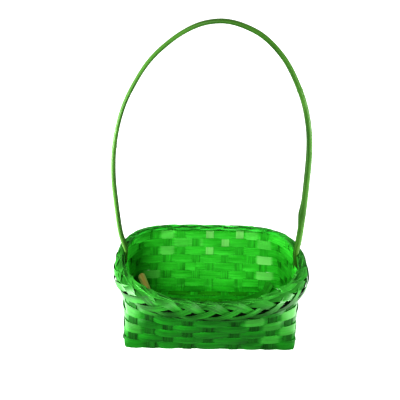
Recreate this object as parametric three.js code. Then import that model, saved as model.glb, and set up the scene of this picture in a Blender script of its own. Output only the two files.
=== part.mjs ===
// A handled gift basket: split strips woven over and under one another, a braided rim
// and one bent slat for a handle. Units are millimetres. X runs along the basket,
// Y from its front to its back, and Z up from the surface that it stands on.
import * as THREE from "three";

// Outline of the basket
const openingLength = 210; // between the inner edges of the rim
const openingWidth = 157.8;
const openingRoundness = 2.4; // exponent of the superellipse that the opening follows
const rimHeight = 87; // top of the rim at the middle of a long side
const rimRise = 9.4; // how much higher the rim stands at the two ends
const baseLength = 209; // middle of the weave, at the floor
const baseWidth = 121.8;
const baseRoundness = 13.2;
const wallOffset = 4.6; // middle of the weave outside the opening, at its top
const wallRoundness = 2.75;
const wallInset = 8; // top of the weave below the top of the rim

// Split strips
const stripThickness = 0.9;
const clearance = 0.35; // between strips that lie on one another
const crossStakeWidth = 10.5; // strips from the front wall under the floor to the back wall
const longStripGap = 1; // between the strips along the floor, of which every second one rises
const weaverWidth = 10.6;
const bendRadius = 3; // where a strip turns from the floor up a wall
const firstRowGap = 1.7; // from the middle of the floor up to the lowest weaver
const turnRoom = 0.5; // past a stake's edge, before a strip changes sides

// Where the stakes stand, as shares of the half-length or half-width that they follow
const frontBaseShares = [-0.895, -0.685, -0.487, -0.268, -0.032, 0.268, 0.487, 0.68, 0.895];
const frontRimShares = [-0.815, -0.66, -0.464, -0.248, -0.032, 0.243, 0.45, 0.643, 0.815];
const backBaseShares = [-0.745, -0.56, -0.372, -0.172, 0.01, 0.215, 0.405, 0.56, 0.725];
const backRimShares = [-0.67, -0.515, -0.35, -0.162, 0.01, 0.203, 0.38, 0.52, 0.67];
const sideRimShares = [-0.55, -0.36, -0.16, 0.05, 0.29, 0.57, 0.755];
const longStripShare = 0.0657; // pitch of the strips along the floor, of the base's width
const riserMiddleShare = 0.072; // place of the middle riser, of half the base's width

// How many there are of the things that the tables above don't count
const weaverRows = 7;
const frontFillerReach = 3; // stakes that the short front filler crosses each side of the middle one
const strandCount = 5;
const strandWaves = 5; // full waves of one strand round the rim

// Braided rim
const strandWidth = 5.6; // at the middle of the braid
const strandSpreadShare = 0.3; // how much wider it is at the lip, and narrower at the foot
const strandThickness = 0.8;
const strandDepth = 2.1; // how far a strand weaves out and in
const strandFlatShare = 0.5; // how much longer a strand lies level outside and inside
const spineShare = 0.42; // where the strands dive under one another, from the foot to the lip
const rimFoot = { out: 6.3, down: 18.5 }; // the braid's middle line, outside the wall's
const rimShoulder = { out: 8.1, down: 2 };
const rimLip = { in: 0.9, down: 2.2 }; // its lip stands back from the opening's edge

// Handle
const handleHeight = 370; // middle of the slat at the top of the hoop
const handleBow = 2.4; // the hoop's reach past the middle of the wall's top
const handleWidth = 9;
const handleTipWidth = 6.6;
const handleLegThickness = 4.2;
const handleCrownThickness = 3;
const handleTipThickness = 1.5;
const handleShoulder = 130; // height where the legs have their full section
const handleLean = 3; // extra room between the wall's top and the slat
const legEndShare = 0.425; // height of the slat's ends, as a share of the wall
const legPointShares = [legEndShare, 0.6, 0.8, 0.95]; // heights that each leg passes inside the wall
const crownCurveShare = 0.45; // share of the thickness that the rounded outer face takes
const crownFlatShare = 0.5; // share of the width that stays flat at its middle
// The hoop, as shares of its reach and of its height above the rim, from left to right
const hoopShares = [
  [-0.927, 0.002], [-0.953, 0.044], [-0.979, 0.093], [-1.007, 0.226], [-1.022, 0.368],
  [-0.996, 0.504], [-0.924, 0.631], [-0.82, 0.732], [-0.637, 0.85], [-0.409, 0.936], [-0.2, 0.984],
  [0.005, 1], [0.2, 0.986], [0.404, 0.945], [0.609, 0.862], [0.773, 0.748], [0.867, 0.648],
  [0.928, 0.521], [0.947, 0.351], [0.949, 0.171], [0.942, 0.067], [0.928, 0.002],
];

// Two brace slats that cross on the floor, from corner to corner
const slatWidth = 9.5;
const slatThickness = 1.4;
const slatBendRadius = 8;
const slatBendAngle = 1.22; // radians
const slatRound = 4.6; // length of the rounded end
const slatRoundShares = [[0.5, 0.88], [0.8, 0.62], [1, 0.3]]; // of its length, and of the width there
const slatStepShares = [[-2, 0], [-1, 1], [1, 1], [2, 0]]; // of the crossing's half-length, and of the step
const slatCornerShares = [0.89, 0.887]; // where they point, of the base's half-length and half-width
const dyedSlat = { slope: 1, leftShare: 0.958, rightShare: 0.967, riseLeft: 2.5, riseRight: 2.5 };
const naturalSlat = { slope: -1, leftShare: 0.995, rightShare: 0.958, riseLeft: 11.6, riseRight: 5 };

// How finely the curves are divided
const wallSteps = 10;
const bendSteps = 4;
const hoopSteps = 72;
const wavePoints = 24; // in one wave of a strand

// Worked out from the sizes above
const layer = stripThickness + clearance;
const floorLevel = layer + stripThickness / 2;
const longStripPitch = longStripShare * baseWidth;
const longStripWidth = longStripPitch - longStripGap;
const baseOutline = { length: baseLength / 2, width: baseWidth / 2, roundness: baseRoundness };
const openingOutline = { length: openingLength / 2, width: openingWidth / 2, roundness: openingRoundness };
const wallOutline = {
  length: openingOutline.length + wallOffset,
  width: openingOutline.width + wallOffset,
  roundness: wallRoundness,
};
const rimEndHeight = rimHeight + rimRise;
const handleReach = wallOutline.length + handleBow;
const slatCorner = new THREE.Vector3(
  slatCornerShares[0] * baseOutline.length,
  slatCornerShares[1] * baseOutline.width,
  0,
);

const green = (hex, roughness) =>
  new THREE.MeshStandardMaterial({ color: hex, roughness, metalness: 0, flatShading: true });
const stakeMaterial = green(0x1c8a1e, 0.55);
const floorMaterial = green(0x2c8c1c, 0.6);
const weaverMaterial = green(0x1f9a24, 0.45);
const rimMaterial = green(0x2f8f3c, 0.45);
const handleMaterial = green(0x3c7a22, 0.5);
const naturalMaterial = green(0xc9a04e, 0.6);

const basket = new THREE.Group();

function addPiece(name, geometry, material) {
  const mesh = new THREE.Mesh(geometry, material);
  mesh.name = name;
  basket.add(mesh);
}

function mix(from, to, share) {
  return new THREE.Vector3().lerpVectors(from, to, share);
}

// How far out an outline reaches across one axis, at a place along the other.
function outlineReach(place, along, across, roundness) {
  return across * (1 - Math.abs(place / along) ** roundness) ** (1 / roundness);
}

// The way round an outline at one of its points, counter-clockwise from above.
function outlineHeading(x, y, outline) {
  const power = outline.roundness - 1;
  const pull = (place, half) => (Math.sign(place) * Math.abs(place / half) ** power) / half;
  return new THREE.Vector3(-pull(y, outline.width), pull(x, outline.length), 0).normalize();
}

function rimTop(x) {
  return rimHeight + rimRise * (x / openingOutline.length) ** 2;
}

// A closed solid through a row of sections that have their points in the same order.
function loft(sections, closed) {
  const size = sections[0].length;
  const points = sections.flat();
  const faces = [];
  const spans = closed ? sections.length : sections.length - 1;
  for (let i = 0; i < spans; i++) {
    const here = i * size;
    const next = ((i + 1) % sections.length) * size;
    for (let j = 0; j < size; j++) {
      const k = (j + 1) % size;
      faces.push([here + j, here + k, next + k], [here + j, next + k, next + j]);
    }
  }
  if (!closed) {
    const last = points.length - size;
    for (let j = 1; j < size - 1; j++) {
      faces.push([0, j + 1, j], [last, last + j, last + j + 1]);
    }
  }
  const volume = (face) => {
    const [a, b, c] = face.map((corner) => points[corner]);
    return a.dot(new THREE.Vector3().crossVectors(b, c));
  };
  const inward = faces.reduce((sum, face) => sum + volume(face), 0) < 0;
  const geometry = new THREE.BufferGeometry().setFromPoints(points);
  geometry.setIndex((inward ? faces.map((face) => face.toReversed()) : faces).flat());
  geometry.computeVertexNormals();
  return geometry;
}

// The four corners of a flat strip's section.
function stripSection(point, across, out, width, thickness) {
  return [[-1, -1], [1, -1], [1, 1], [-1, 1]].map(([side, face]) =>
    point
      .clone()
      .addScaledVector(across, (side * width) / 2)
      .addScaledVector(out, (face * thickness) / 2),
  );
}

// One stake's line up the wall, from the floor's edge to the weave's top.
function makePost(baseX, baseY, rimX, rimY, width) {
  return {
    width,
    base: new THREE.Vector3(baseX, baseY, floorLevel),
    rim: new THREE.Vector3(rimX, rimY, rimTop(rimX) - wallInset),
    baseHeading: outlineHeading(baseX, baseY, baseOutline),
    rimHeading: outlineHeading(rimX, rimY, wallOutline),
  };
}

function crosswisePost(baseShare, rimShare, side) {
  const baseX = baseShare * baseOutline.length;
  const rimX = rimShare * wallOutline.length;
  const baseY = side * outlineReach(baseX, baseOutline.length, baseOutline.width, baseRoundness);
  const rimY = side * outlineReach(rimX, wallOutline.length, wallOutline.width, wallRoundness);
  return makePost(baseX, baseY, rimX, rimY, crossStakeWidth);
}

function endPost(baseY, rimShare, side) {
  const rimY = rimShare * wallOutline.width;
  const baseX = side * outlineReach(baseY, baseOutline.width, baseOutline.length, baseRoundness);
  const rimX = side * outlineReach(rimY, wallOutline.width, wallOutline.length, wallRoundness);
  return makePost(baseX, baseY, rimX, rimY, longStripWidth);
}

// The wall at one post, at a share of its height: its place and the ways along, up and out.
function wallFrame(post, share) {
  const along = mix(post.baseHeading, post.rimHeading, share).normalize();
  const up = post.rim.clone().sub(post.base).normalize();
  return {
    point: mix(post.base, post.rim, share),
    along,
    out: new THREE.Vector3().crossVectors(along, up).normalize(),
  };
}

function wallShare(post, length) {
  return length / post.base.distanceTo(post.rim);
}

// Sections of a strip from the top of a wall down to where it lies flat on the floor.
function risingSections(post, inward, floorHeading, side) {
  const sections = [];
  const bendShare = wallShare(post, bendRadius);
  for (let i = 0; i <= wallSteps; i++) {
    const { point, along, out } = wallFrame(post, 1 + (bendShare - 1) * (i / wallSteps));
    sections.push(stripSection(point, along.multiplyScalar(side), out, post.width, stripThickness));
  }
  const start = wallFrame(post, bendShare);
  const end = post.base.clone().addScaledVector(inward, bendRadius);
  for (let i = 1; i <= bendSteps; i++) {
    const share = i / bendSteps;
    const before = mix(start.point, post.base, share);
    const after = mix(post.base, end, share);
    const along = mix(start.along, floorHeading, share).normalize();
    const out = new THREE.Vector3().crossVectors(after.clone().sub(before), along).normalize();
    const point = mix(before, after, share);
    sections.push(stripSection(point, along.multiplyScalar(side), out, post.width, stripThickness));
  }
  return sections;
}

// A strip that lies on the floor between two posts and rises on both walls.
function bentStrip(first, second, between) {
  const run = second.base.clone().sub(first.base).normalize();
  const heading = new THREE.Vector3(run.y, -run.x, 0);
  const start = risingSections(first, run, heading, 1);
  const end = risingSections(second, run.clone().negate(), heading.clone().negate(), -1);
  return loft([...start, ...between, ...end.reverse()], false);
}

const riserCount = sideRimShares.length;
const riserMiddle = (riserCount - 1) / 2;
const riserPitch = 2 * longStripPitch;
const riserY = (index) => riserMiddleShare * baseOutline.width + (index - riserMiddle) * riserPitch;

const frontPosts = frontBaseShares.map((share, i) => crosswisePost(share, frontRimShares[i], -1));
const backPosts = backBaseShares.map((share, i) => crosswisePost(share, backRimShares[i], 1));
const leftPosts = sideRimShares.map((share, i) => endPost(riserY(i), share, -1));
const rightPosts = sideRimShares.map((share, i) => endPost(riserY(i), share, 1));
const posts = [...frontPosts, ...rightPosts, ...backPosts.toReversed(), ...leftPosts.toReversed()];
const legPosts = [leftPosts[riserMiddle], rightPosts[riserMiddle]];

// Crosswise stakes: down the front wall, flat under the floor and up the back wall.
frontPosts.forEach((post, i) => {
  addPiece(`crosswise_stake_${i + 1}`, bentStrip(post, backPosts[i], []), stakeMaterial);
});

// Sections of a strip along the floor, over and under the crosswise stakes in turn.
function floorSections(y, startsOver, skipped) {
  const sections = [];
  frontPosts.forEach((front, i) => {
    if (i < skipped || i >= frontPosts.length - skipped) return;
    const run = backPosts[i].base.clone().sub(front.base);
    const slant = run.x / run.y;
    const middle = front.base.x + slant * (y - front.base.y);
    const halfRun = (crossStakeWidth + Math.abs(slant) * longStripWidth) / 2 + turnRoom;
    const over = (i % 2 === 0) === startsOver;
    const level = floorLevel + (over ? layer : -layer);
    for (const x of [middle - halfRun, middle + halfRun]) {
      const point = new THREE.Vector3(x, y, level);
      const across = new THREE.Vector3(0, -1, 0);
      const down = new THREE.Vector3(0, 0, -1);
      sections.push(stripSection(point, across, down, longStripWidth, stripThickness));
    }
  });
  return sections;
}

// Risers pass under the outermost stakes and turn up the end walls.
leftPosts.forEach((post, i) => {
  const geometry = bentStrip(post, rightPosts[i], floorSections(riserY(i), false, 0));
  addPiece(`lengthwise_stake_${i + 1}`, geometry, stakeMaterial);
});

// Fillers lie between the risers and end inside the walls. The front one is shorter.
for (let i = 0; i < riserCount; i++) {
  const y = riserY(i) - longStripPitch;
  const skipped = i === 0 ? (frontPosts.length - 1) / 2 - frontFillerReach : 0;
  addPiece(`floor_filler_${i + 1}`, loft(floorSections(y, true, skipped), false), floorMaterial);
}

// How thick and wide the handle slat is at a height.
function handleSection(z) {
  const tip = legEndShare * (rimEndHeight - wallInset);
  const taper = THREE.MathUtils.smoothstep(z, tip, handleShoulder);
  const crown = THREE.MathUtils.smoothstep(z, handleShoulder, handleHeight);
  return {
    width: handleTipWidth + (handleWidth - handleTipWidth) * taper,
    thickness:
      handleTipThickness +
      (handleLegThickness - handleTipThickness) * taper +
      (handleCrownThickness - handleLegThickness) * crown,
  };
}

// The slat's distance inside the middle of the wall, at a share of the wall's height.
function legInset(post, share) {
  const { thickness } = handleSection(wallFrame(post, share).point.z);
  return layer - stripThickness / 2 + thickness / 2 + handleLean * share ** 4;
}

// The distance from the middle of the wall to the slat's inner face.
function legDepth(post, share) {
  const { thickness } = handleSection(wallFrame(post, share).point.z);
  return legInset(post, share) + thickness / 2;
}

// Weavers go round level with one another, outside one post and inside the next.
const rowShare = (post) => (1 - wallShare(post, firstRowGap)) / weaverRows;

function weaverSections(row) {
  const sections = [];
  posts.forEach((post, i) => {
    const middle = 1 - (weaverRows - row - 0.5) * rowShare(post);
    const half = wallShare(post, weaverWidth) / 2;
    const outside = (i + row) % 2 === 0;
    const holdsLeg = !outside && middle > legEndShare && legPosts.includes(post);
    const depth = holdsLeg ? legDepth(post, middle + half) : stripThickness / 2;
    const offset = outside ? layer : -(depth + clearance + stripThickness / 2);
    const width = holdsLeg ? handleWidth : post.width;
    for (const side of [-1, 1]) {
      const corner = (share, face) => {
        const { point, along, out } = wallFrame(post, share);
        return point
          .addScaledVector(along, side * (width / 2 + turnRoom))
          .addScaledVector(out, offset + (face * stripThickness) / 2);
      };
      const [lower, upper] = [middle - half, middle + half];
      sections.push([corner(lower, -1), corner(lower, 1), corner(upper, 1), corner(upper, -1)]);
    }
  });
  return sections;
}

for (let row = 0; row < weaverRows; row++) {
  addPiece(`weaver_${row + 1}`, loft(weaverSections(row), true), weaverMaterial);
}

// The point of an outline where it faces a given way.
function facingPoint(outline, facing) {
  const { length, width, roundness } = outline;
  const power = roundness / (roundness - 1);
  const pulls = [length * facing.x, width * facing.y].map((pull) => Math.abs(pull) ** power);
  const [x, y] = pulls.map((pull) => (pull / (pulls[0] + pulls[1])) ** (1 / roundness));
  return new THREE.Vector3(Math.sign(facing.x) * length * x, Math.sign(facing.y) * width * y, 0);
}

// Evenly spaced stations round the top of the wall: each has its way out, and how far
// the opening's edge lies inside the wall there.
function rimStations(count) {
  const fine = 4 * count;
  const ways = Array.from({ length: fine + 1 }, (unused, i) => {
    const angle = (2 * Math.PI * (i % fine)) / fine;
    return new THREE.Vector3(Math.cos(angle), Math.sin(angle), 0);
  });
  const points = ways.map((way) => facingPoint(wallOutline, way));
  const curve = new THREE.CurvePath();
  points.slice(1).forEach((point, i) => curve.add(new THREE.LineCurve3(points[i], point)));
  return Array.from({ length: count }, (unused, i) => {
    const point = curve.getPointAt(i / count);
    const heading = outlineHeading(point.x, point.y, wallOutline);
    const out = new THREE.Vector3(heading.y, -heading.x, 0);
    const opening = facingPoint(openingOutline, out);
    return { point, out, edge: opening.sub(point).dot(out) };
  });
}

// The braid's middle line across the rim, from its foot to its lip.
function rimProfile(edge) {
  return new THREE.QuadraticBezierCurve(
    new THREE.Vector2(rimFoot.out, -rimFoot.down),
    new THREE.Vector2(rimShoulder.out, -rimShoulder.down),
    new THREE.Vector2(edge + rimLip.in, -rimLip.down),
  );
}

// The strands weave past one another round the rim, each one a closed loop.
function strandSections(strand) {
  const stations = rimStations(strandWaves * wavePoints);
  return stations.map(({ point, out, edge }, i) => {
    const profile = rimProfile(edge);
    const length = profile.getLength();
    const phase = 2 * Math.PI * (i / wavePoints + strand / strandCount);
    const swing = Math.cos(phase);
    const spine = spineShare * length;
    const width = strandWidth * (1 + strandSpreadShare * swing);
    const lowest = (strandWidth * (1 - strandSpreadShare)) / 2;
    const highest = length - (strandWidth * (1 + strandSpreadShare)) / 2;
    const place = spine + ((highest - lowest) / 2) * swing + ((highest + lowest) / 2 - spine) * swing ** 2;
    const sway = Math.sin(2 * phase);
    const depth = strandDepth * sway * (1 + strandFlatShare - strandFlatShare * sway ** 2);
    const corner = (side, face) => {
      const share = THREE.MathUtils.clamp((place + (side * width) / 2) / length, 0, 1);
      const middle = profile.getPointAt(share);
      const tangent = profile.getTangentAt(share);
      const thick = depth + (face * strandThickness) / 2;
      return point
        .clone()
        .addScaledVector(out, middle.x + thick * tangent.y)
        .setZ(rimTop(point.x) + middle.y - thick * tangent.x);
    };
    return [corner(-1, -1), corner(1, -1), corner(1, 1), corner(-1, 1)];
  });
}

for (let strand = 0; strand < strandCount; strand++) {
  addPiece(`rim_strand_${strand + 1}`, loft(strandSections(strand), true), rimMaterial);
}

// The handle's ends run down inside the wall, behind the weavers that pass there.
function legPoints(post) {
  return legPointShares.map((share) => {
    const { point, out } = wallFrame(post, share);
    return point.addScaledVector(out, -legInset(post, share)).setY(post.base.y);
  });
}

const hoopPoints = hoopShares.map(([reachShare, riseShare]) => {
  const z = rimEndHeight + riseShare * (handleHeight - rimEndHeight);
  return new THREE.Vector3(reachShare * handleReach, legPosts[0].base.y, z);
});
const hoop = new THREE.CatmullRomCurve3([
  ...legPoints(legPosts[0]),
  ...hoopPoints,
  ...legPoints(legPosts[1]).reverse(),
]);

// The slat is flat inside the hoop and rounded outside.
const hoopSections = Array.from({ length: hoopSteps + 1 }, (unused, i) => {
  const point = hoop.getPointAt(i / hoopSteps);
  const tangent = hoop.getTangentAt(i / hoopSteps);
  const out = new THREE.Vector3(-tangent.z, 0, tangent.x).normalize();
  const { width, thickness } = handleSection(point.z);
  const edge = thickness / 2 - crownCurveShare * thickness;
  const flat = (crownFlatShare * width) / 2;
  const profile = [
    [-width / 2, -thickness / 2], [width / 2, -thickness / 2], [width / 2, edge],
    [flat, thickness / 2], [-flat, thickness / 2], [-width / 2, edge],
  ];
  return profile.map(([across, height]) =>
    point.clone().addScaledVector(out, height).add(new THREE.Vector3(0, across, 0)),
  );
});
addPiece("handle_hoop", loft(hoopSections, false), handleMaterial);

// One end of a brace slat, from the floor outwards: distance, height and way along.
function slatEnd(reach, rise) {
  const bendRun = slatBendRadius * Math.sin(slatBendAngle);
  const start = reach - bendRun - rise * Math.cos(slatBendAngle);
  const arc = Array.from({ length: bendSteps + 1 }, (unused, i) => {
    const angle = (slatBendAngle * i) / bendSteps;
    return {
      distance: start + slatBendRadius * Math.sin(angle),
      height: slatBendRadius * (1 - Math.cos(angle)),
      angle,
      widthShare: 1,
    };
  });
  const level = arc[bendSteps].height;
  const round = slatRoundShares.map(([share, widthShare]) => {
    const length = rise + slatRound * share;
    return {
      distance: start + bendRun + length * Math.cos(slatBendAngle),
      height: level + length * Math.sin(slatBendAngle),
      angle: slatBendAngle,
      widthShare,
    };
  });
  return [...arc, ...round];
}

// A slat lies on the floor's strips, and one slat steps over the other where they cross.
function slatGeometry({ slope, leftShare, rightShare, riseLeft, riseRight }, stepsOver) {
  const reach = slatCorner.length();
  const heading = new THREE.Vector3(slatCorner.x, slope * slatCorner.y, 0).normalize();
  const across = new THREE.Vector3(-heading.y, heading.x, 0);
  const level = floorLevel + layer + stripThickness / 2 + clearance + slatThickness / 2;
  const crossing = Math.sin(2 * Math.atan2(slatCorner.y, slatCorner.x));
  const stepRun = slatWidth / crossing;
  const step = slatThickness + clearance;
  const mirrored = (end) => ({ ...end, distance: -end.distance, angle: -end.angle });
  const raised = ([runShare, stepShare]) => ({
    distance: runShare * stepRun,
    height: stepShare * step,
    angle: 0,
    widthShare: 1,
  });
  const stations = [
    ...slatEnd(leftShare * reach, riseLeft).reverse().map(mirrored),
    ...(stepsOver ? slatStepShares.map(raised) : []),
    ...slatEnd(rightShare * reach, riseRight),
  ];
  const sections = stations.map(({ distance, height, angle, widthShare }) => {
    const point = heading.clone().multiplyScalar(distance).setZ(level + height);
    const up = new THREE.Vector3(0, 0, Math.cos(angle)).addScaledVector(heading, -Math.sin(angle));
    return stripSection(point, across, up, slatWidth * widthShare, slatThickness);
  });
  return loft(sections, false);
}

addPiece("brace_slat_natural", slatGeometry(naturalSlat, false), naturalMaterial);
addPiece("brace_slat_dyed", slatGeometry(dyedSlat, true), floorMaterial);

export default basket;
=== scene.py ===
import math
import random

import bmesh
import bpy
from mathutils import Matrix, Vector, noise


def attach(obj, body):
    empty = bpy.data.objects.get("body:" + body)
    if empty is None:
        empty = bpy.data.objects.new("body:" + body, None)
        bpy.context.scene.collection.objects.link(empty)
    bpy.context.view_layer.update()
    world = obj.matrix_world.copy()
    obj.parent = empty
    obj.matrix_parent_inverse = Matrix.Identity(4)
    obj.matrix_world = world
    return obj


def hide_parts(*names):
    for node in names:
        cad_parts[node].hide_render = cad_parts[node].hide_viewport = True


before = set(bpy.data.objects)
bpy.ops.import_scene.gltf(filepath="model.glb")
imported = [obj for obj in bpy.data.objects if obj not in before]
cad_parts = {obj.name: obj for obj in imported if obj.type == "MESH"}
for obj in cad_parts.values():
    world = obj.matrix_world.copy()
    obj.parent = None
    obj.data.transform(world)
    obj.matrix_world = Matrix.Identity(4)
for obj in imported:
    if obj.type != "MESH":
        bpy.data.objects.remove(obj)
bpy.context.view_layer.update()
mm = 0.001

# The camera stands in front of the basket and looks a little down into it, as the
# photograph's does. Its place was fitted to the outline of the basket in the photograph.
camera_place = Vector((-26.37 * mm, -567.4 * mm, 473.48 * mm))
camera_right = Vector((0.99967, -0.00564, 0.02502))
camera_up = Vector((-0.01941, 0.47146, 0.88167))
camera_lens = bpy.data.cameras.new("camera")
camera_lens.sensor_width = 36
camera_lens.lens = 50.19
camera = bpy.data.objects.new("camera", camera_lens)
facing_back = camera_right.cross(camera_up).normalized()
turned = Matrix((camera_right, facing_back.cross(camera_right), facing_back)).transposed()
camera.matrix_world = Matrix.Translation(camera_place) @ turned.to_4x4()
bpy.context.scene.collection.objects.link(camera)
bpy.context.scene.camera = camera
bpy.context.scene.view_settings.view_transform = "Standard"
bpy.context.scene.view_settings.look = "High Contrast"

# The studio: a glowing white table under a soft sky, with one broad light from the front
# and above. A soft light low at each side gives the strips their sheen, and a faint panel
# beside each end lights the walls from below. Under the basket the glow is off, a painted shadow.
floor_half = 8.0
table_glow = 0.52
painted_contact_shadow = (("X", 0.094, 0.104), ("Y", 0.052, 0.060))
floor_mesh = bpy.data.meshes.new("studio_floor")
studio = bmesh.new()
bmesh.ops.create_grid(studio, x_segments=1, y_segments=1, size=floor_half)
studio.to_mesh(floor_mesh)
studio.free()
floor = bpy.data.objects.new("studio_floor", floor_mesh)
bpy.context.scene.collection.objects.link(floor)
floor_paint = bpy.data.materials.new("floor_paint")
floor_paint.use_nodes = True
floor_shader = floor_paint.node_tree.nodes["Principled BSDF"]
floor_shader.inputs["Base Color"].default_value = (0.6, 0.6, 0.6, 1)
floor_shader.inputs["Roughness"].default_value = 0.9
floor_shader.inputs["Emission Color"].default_value = (1, 1, 1, 1)
floor_nodes = floor_paint.node_tree.nodes
floor_links = floor_paint.node_tree.links
floor_place = floor_nodes.new("ShaderNodeTexCoord")
floor_folded = floor_nodes.new("ShaderNodeVectorMath")
floor_folded.operation = "ABSOLUTE"
floor_links.new(floor_place.outputs["Object"], floor_folded.inputs[0])
floor_ways = floor_nodes.new("ShaderNodeSeparateXYZ")
floor_links.new(floor_folded.outputs["Vector"], floor_ways.inputs["Vector"])
outside = floor_nodes.new("ShaderNodeMath")
outside.operation = "MAXIMUM"
for i, (way, near, far) in enumerate(painted_contact_shadow):
    edge = floor_nodes.new("ShaderNodeMapRange")
    edge.inputs["From Min"].default_value = near
    edge.inputs["From Max"].default_value = far
    edge.inputs["To Max"].default_value = table_glow
    floor_links.new(floor_ways.outputs[way], edge.inputs["Value"])
    floor_links.new(edge.outputs["Result"], outside.inputs[i])
floor_links.new(outside.outputs["Value"], floor_shader.inputs["Emission Strength"])
floor_mesh.materials.append(floor_paint)
floor.visible_diffuse = False
floor.visible_glossy = False

sky = bpy.data.worlds.new("sky")
sky.use_nodes = True
sky.node_tree.nodes["Background"].inputs["Color"].default_value = (1, 1, 1, 1)
sky.node_tree.nodes["Background"].inputs["Strength"].default_value = 0.36
bpy.context.scene.world = sky


def soft_light(name, place, aim, size, power):
    """A square soft box that shines from place towards aim."""
    light = bpy.data.lights.new(name, "AREA")
    light.shape = "SQUARE"
    light.size = size
    light.energy = power
    box = bpy.data.objects.new(name, light)
    box.location = place
    box.rotation_mode = "QUATERNION"
    box.rotation_quaternion = (Vector(aim) - Vector(place)).to_track_quat("-Z", "Y")
    box.visible_camera = False
    bpy.context.scene.collection.objects.link(box)


key_direction = Vector((0.25, 0.76, -0.64))
key_light = bpy.data.lights.new("key", "SUN")
key_light.energy = 2.5
key_light.angle = 0.5
key = bpy.data.objects.new("key", key_light)
key.rotation_mode = "QUATERNION"
key.rotation_quaternion = key_direction.to_track_quat("-Z", "Y")
bpy.context.scene.collection.objects.link(key)
basket_middle = (0, 0, 0.05)
soft_light("left_side", (-0.8, -0.28, 0.11), basket_middle, size=0.22, power=19)
soft_light("right_side", (0.8, -0.33, 0.12), basket_middle, size=0.24, power=11)
soft_light("left_panel", (-0.31, -0.08, 0.001), (-0.31, -0.08, 1), size=0.36, power=1.1)
soft_light("right_panel", (0.31, -0.08, 0.001), (0.31, -0.08, 1), size=0.36, power=0.9)


# Crosswise stakes: nine flat strips of split bamboo, dyed before they were woven. Each
# comes down the front wall, passes under the floor and goes up the back wall.
base_half = (103.3 * mm, 60.9 * mm)
base_roundness = 20
rim_half = (109.6 * mm, 83.5 * mm)
rim_roundness = 2.75
rim_height = 87 * mm
rim_rise = 9.4 * mm
opening_half_length = 105 * mm
wall_inset = 8 * mm
floor_level = 1.7 * mm
strip_thickness = 0.5 * mm
stake_width = 10.5 * mm
riser_width = 7 * mm
front_base_shares = [-0.895, -0.685, -0.487, -0.268, -0.032, 0.268, 0.487, 0.68, 0.895]
front_rim_shares = [-0.815, -0.66, -0.464, -0.248, -0.032, 0.243, 0.45, 0.643, 0.815]
back_base_shares = [-0.745, -0.56, -0.372, -0.172, 0.01, 0.215, 0.405, 0.56, 0.725]
back_rim_shares = [-0.67, -0.515, -0.35, -0.162, 0.01, 0.203, 0.38, 0.52, 0.67]
side_rim_shares = [-0.55, -0.36, -0.16, 0.05, 0.29, 0.57, 0.755]
floor_pitch = 8 * mm
middle_riser = 4.385 * mm
outline_points = 1440
weaver_rows = 7
first_row_gap = 0.2 * mm
stake_sway = 0.15 * mm
foot_bulge = 2.1 * mm
foot_bulge_rows = 1.2
foot_dip = 1.4 * mm
strip_camber = 0.12 * mm
strip_edge = 0.18 * mm
merge_distance = 0.01 * mm
grain_lengths = 50
wall_nearby = 0.05


def outline_facing(half_length, half_width, roundness, way_x, way_y):
    """The point of a rounded oblong outline where it faces a given way."""
    power = roundness / (roundness - 1)
    pull_x = abs(half_length * way_x) ** power
    pull_y = abs(half_width * way_y) ** power
    x = half_length * (pull_x / (pull_x + pull_y)) ** (1 / roundness)
    y = half_width * (pull_y / (pull_x + pull_y)) ** (1 / roundness)
    return Vector((math.copysign(x, way_x), math.copysign(y, way_y), 0))


def rounded_outline(half_length, half_width, roundness):
    """Evenly spaced points round such an outline, counter-clockwise from +X."""
    loop = []
    for i in range(outline_points + 1):
        facing = math.tau * (i % outline_points) / outline_points
        loop.append(outline_facing(half_length, half_width, roundness, math.cos(facing), math.sin(facing)))
    lengths = [(after - before).length for before, after in zip(loop, loop[1:])]
    step = sum(lengths) / outline_points
    points, walked, i = [], 0.0, 0
    for k in range(outline_points):
        while walked + lengths[i] < k * step:
            walked += lengths[i]
            i += 1
        points.append(loop[i].lerp(loop[i + 1], (k * step - walked) / lengths[i]))
    return points


base_outline = rounded_outline(*base_half, base_roundness)
rim_outline = rounded_outline(*rim_half, rim_roundness)


def outline_at(outline, index):
    """A point of an outline at a fractional index."""
    whole = math.floor(index)
    here, after = outline[whole % outline_points], outline[(whole + 1) % outline_points]
    return here.lerp(after, index - whole)


def outline_index(outline, fixed, value, side):
    """The index where an outline has a given x (fixed 0) or y (fixed 1), on one side."""
    other = 1 - fixed
    near = [i for i in range(outline_points) if outline[i][other] * side > 0]
    return min(near, key=lambda i: abs(outline[i][fixed] - value))


def riser_y(index):
    """How far back a lengthwise stake lies on the floor."""
    return middle_riser + (index - (len(side_rim_shares) - 1) / 2) * 2 * floor_pitch


def rim_top(x):
    """The height of the lip, which rises towards the ends."""
    return rim_height + rim_rise * (x / opening_half_length) ** 2


post_pairs = []
for base_share, rim_share in zip(front_base_shares, front_rim_shares):
    post_pairs.append((0, base_share * base_half[0], rim_share * rim_half[0], -1))
for i, rim_share in enumerate(side_rim_shares):
    post_pairs.append((1, riser_y(i), rim_share * rim_half[1], 1))
for base_share, rim_share in reversed(list(zip(back_base_shares, back_rim_shares))):
    post_pairs.append((0, base_share * base_half[0], rim_share * rim_half[0], 1))
for i, rim_share in reversed(list(enumerate(side_rim_shares))):
    post_pairs.append((1, riser_y(i), rim_share * rim_half[1], -1))
post_count = len(post_pairs)

post_indices = []
for fixed, base_value, rim_value, side in post_pairs:
    indices = [
        outline_index(base_outline, fixed, base_value, side),
        outline_index(rim_outline, fixed, rim_value, side),
    ]
    if post_indices:
        last = post_indices[-1]
        half_round = outline_points / 2
        indices = [i + outline_points * (i < before - half_round) for i, before in zip(indices, last)]
    post_indices.append(indices)
post_indices.append([i + outline_points for i in post_indices[0]])


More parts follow.
